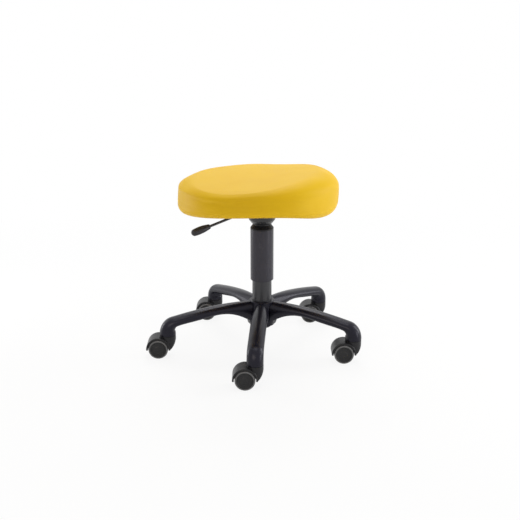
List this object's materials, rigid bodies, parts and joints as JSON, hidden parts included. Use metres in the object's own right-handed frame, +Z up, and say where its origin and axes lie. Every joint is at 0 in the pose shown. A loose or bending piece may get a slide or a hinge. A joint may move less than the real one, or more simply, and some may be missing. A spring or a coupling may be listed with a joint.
{
  "type": "saddle stool",
  "caption": "Round saddle stool: a thick upholstered seat on a gas-spring column with a release lever, on a star base with swivel casters.",
  "frame": {"origin": "on the column's axis, at floor level", "axes": "+Z up the column, -Y towards the seat's front and +Y towards its raised rear"},
  "size_m": [0.5415, 0.5323, 0.4715],
  "materials": {
    "base_plastic": "satin",
    "zinc_steel": "satin",
    "column_paint": "satin",
    "bush_plastic": "matte",
    "bright_steel": "polished",
    "piston_alloy": "satin",
    "bump_rubber": "matte",
    "tube_paint": "satin",
    "sleeve_plastic": "satin",
    "cap_plastic": "satin",
    "carrier_paint": "satin",
    "lever_paint": "satin",
    "grip_plastic": "satin",
    "plywood": "matte",
    "foam": "matte",
    "yellow_cover": "satin",
    "caster_plastic": "satin",
    "wheel_plastic": "satin",
    "tread_rubber": "matte"
  },
  "bodies": {
    "base": {"star_base": "base_plastic", "caster_stems": "zinc_steel", "column_tube": "column_paint", "guide_bush": "bush_plastic", "bearing_lower_race": "bright_steel", "bearing_balls": "bright_steel"},
    "piston": {"piston_rod": "bright_steel", "piston_head": "piston_alloy", "bearing_upper_race": "bright_steel", "bump_stop": "bump_rubber", "rod_clip": "zinc_steel"},
    "seat": {"pressure_tube": "tube_paint", "rod_guide": "bush_plastic", "valve_body": "piston_alloy", "upper_sleeve": "sleeve_plastic", "sleeve_cap": "cap_plastic", "taper_socket": "carrier_paint", "lever_bracket": "carrier_paint", "lever_pivot": "zinc_steel", "seat_plate": "carrier_paint", "plate_screws": "zinc_steel", "plate_washers": "zinc_steel", "tee_nuts": "zinc_steel", "seat_board": "plywood", "seat_foam": "foam", "seat_cover": "yellow_cover", "cover_staples": "zinc_steel"},
    "lever": {"lever_rod": "lever_paint", "lever_grip": "grip_plastic"},
    "pin": {"release_pin": "bright_steel"},
    "caster_1": {"caster_1_body": "caster_plastic", "caster_1_axle": "zinc_steel"},
    "caster_1_roller_a": {"caster_1_wheel_a": "wheel_plastic", "caster_1_tread_a": "tread_rubber"},
    "caster_1_roller_b": {"caster_1_wheel_b": "wheel_plastic", "caster_1_tread_b": "tread_rubber"},
    "caster_2": {"caster_2_body": "caster_plastic", "caster_2_axle": "zinc_steel"},
    "caster_2_roller_a": {"caster_2_wheel_a": "wheel_plastic", "caster_2_tread_a": "tread_rubber"},
    "caster_2_roller_b": {"caster_2_wheel_b": "wheel_plastic", "caster_2_tread_b": "tread_rubber"},
    "caster_3": {"caster_3_body": "caster_plastic", "caster_3_axle": "zinc_steel"},
    "caster_3_roller_a": {"caster_3_wheel_a": "wheel_plastic", "caster_3_tread_a": "tread_rubber"},
    "caster_3_roller_b": {"caster_3_wheel_b": "wheel_plastic", "caster_3_tread_b": "tread_rubber"},
    "caster_4": {"caster_4_body": "caster_plastic", "caster_4_axle": "zinc_steel"},
    "caster_4_roller_a": {"caster_4_wheel_a": "wheel_plastic", "caster_4_tread_a": "tread_rubber"},
    "caster_4_roller_b": {"caster_4_wheel_b": "wheel_plastic", "caster_4_tread_b": "tread_rubber"},
    "caster_5": {"caster_5_body": "caster_plastic", "caster_5_axle": "zinc_steel"},
    "caster_5_roller_a": {"caster_5_wheel_a": "wheel_plastic", "caster_5_tread_a": "tread_rubber"},
    "caster_5_roller_b": {"caster_5_wheel_b": "wheel_plastic", "caster_5_tread_b": "tread_rubber"}
  },
  "joints": [
    {"name": "seat_swivel", "type": "hinge", "parent": "base", "child": "piston", "pos_m": [0, 0, 0.07], "axis": [0, 0, 1], "continuous": true},
    {"name": "seat_height", "type": "slide", "parent": "piston", "child": "seat", "axis": [0, 0, 1], "range_m": [-0.05, 0.075]},
    {"name": "lever_lift", "type": "hinge", "parent": "seat", "child": "lever", "pos_m": [0.02206, -0.01724, 0.38125], "axis": [-0.6157, -0.788, 0], "range_deg": [0, 5.7], "stiffness_Nm_per_rad": 0.6},
    {"name": "release_press", "type": "slide", "parent": "seat", "child": "pin", "axis": [0, 0, -1], "range_m": [0, 0.0032]},
    {"name": "caster_1_swivel", "type": "hinge", "parent": "base", "child": "caster_1", "pos_m": [0, 0.25, 0.058], "axis": [0, 0, 1], "continuous": true},
    {"name": "caster_1_roll_a", "type": "hinge", "parent": "caster_1", "child": "caster_1_roller_a", "pos_m": [0.00899, 0.22775, 0.025], "axis": [0.9272, 0.3746, 0], "continuous": true},
    {"name": "caster_1_roll_b", "type": "hinge", "parent": "caster_1", "child": "caster_1_roller_b", "pos_m": [0.00899, 0.22775, 0.025], "axis": [0.9272, 0.3746, 0], "continuous": true},
    {"name": "caster_2_swivel", "type": "hinge", "parent": "base", "child": "caster_2", "pos_m": [-0.23776, 0.07725, 0.058], "axis": [0, 0, 1], "continuous": true},
    {"name": "caster_2_roll_a", "type": "hinge", "parent": "caster_2", "child": "caster_2_roller_a", "pos_m": [-0.22877, 0.055, 0.025], "axis": [0.9272, 0.3746, 0], "continuous": true},
    {"name": "caster_2_roll_b", "type": "hinge", "parent": "caster_2", "child": "caster_2_roller_b", "pos_m": [-0.22877, 0.055, 0.025], "axis": [0.9272, 0.3746, 0], "continuous": true},
    {"name": "caster_3_swivel", "type": "hinge", "parent": "base", "child": "caster_3", "pos_m": [-0.14695, -0.20225, 0.058], "axis": [0, 0, 1], "continuous": true},
    {"name": "caster_3_roll_a", "type": "hinge", "parent": "caster_3", "child": "caster_3_roller_a", "pos_m": [-0.13796, -0.22451, 0.025], "axis": [0.9272, 0.3746, 0], "continuous": true},
    {"name": "caster_3_roll_b", "type": "hinge", "parent": "caster_3", "child": "caster_3_roller_b", "pos_m": [-0.13796, -0.22451, 0.025], "axis": [0.9272, 0.3746, 0], "continuous": true},
    {"name": "caster_4_swivel", "type": "hinge", "parent": "base", "child": "caster_4", "pos_m": [0.14695, -0.20225, 0.058], "axis": [0, 0, 1], "continuous": true},
    {"name": "caster_4_roll_a", "type": "hinge", "parent": "caster_4", "child": "caster_4_roller_a", "pos_m": [0.15594, -0.22451, 0.025], "axis": [0.9272, 0.3746, 0], "continuous": true},
    {"name": "caster_4_roll_b", "type": "hinge", "parent": "caster_4", "child": "caster_4_roller_b", "pos_m": [0.15594, -0.22451, 0.025], "axis": [0.9272, 0.3746, 0], "continuous": true},
    {"name": "caster_5_swivel", "type": "hinge", "parent": "base", "child": "caster_5", "pos_m": [0.23776, 0.07725, 0.058], "axis": [0, 0, 1], "continuous": true},
    {"name": "caster_5_roll_a", "type": "hinge", "parent": "caster_5", "child": "caster_5_roller_a", "pos_m": [0.24676, 0.055, 0.025], "axis": [0.9272, 0.3746, 0], "continuous": true},
    {"name": "caster_5_roll_b", "type": "hinge", "parent": "caster_5", "child": "caster_5_roller_b", "pos_m": [0.24676, 0.055, 0.025], "axis": [0.9272, 0.3746, 0], "continuous": true}
  ],
  "couplings": [
    {"joint": "release_press", "follows": "lever_lift", "m_per_rad": 0.032}
  ]
}
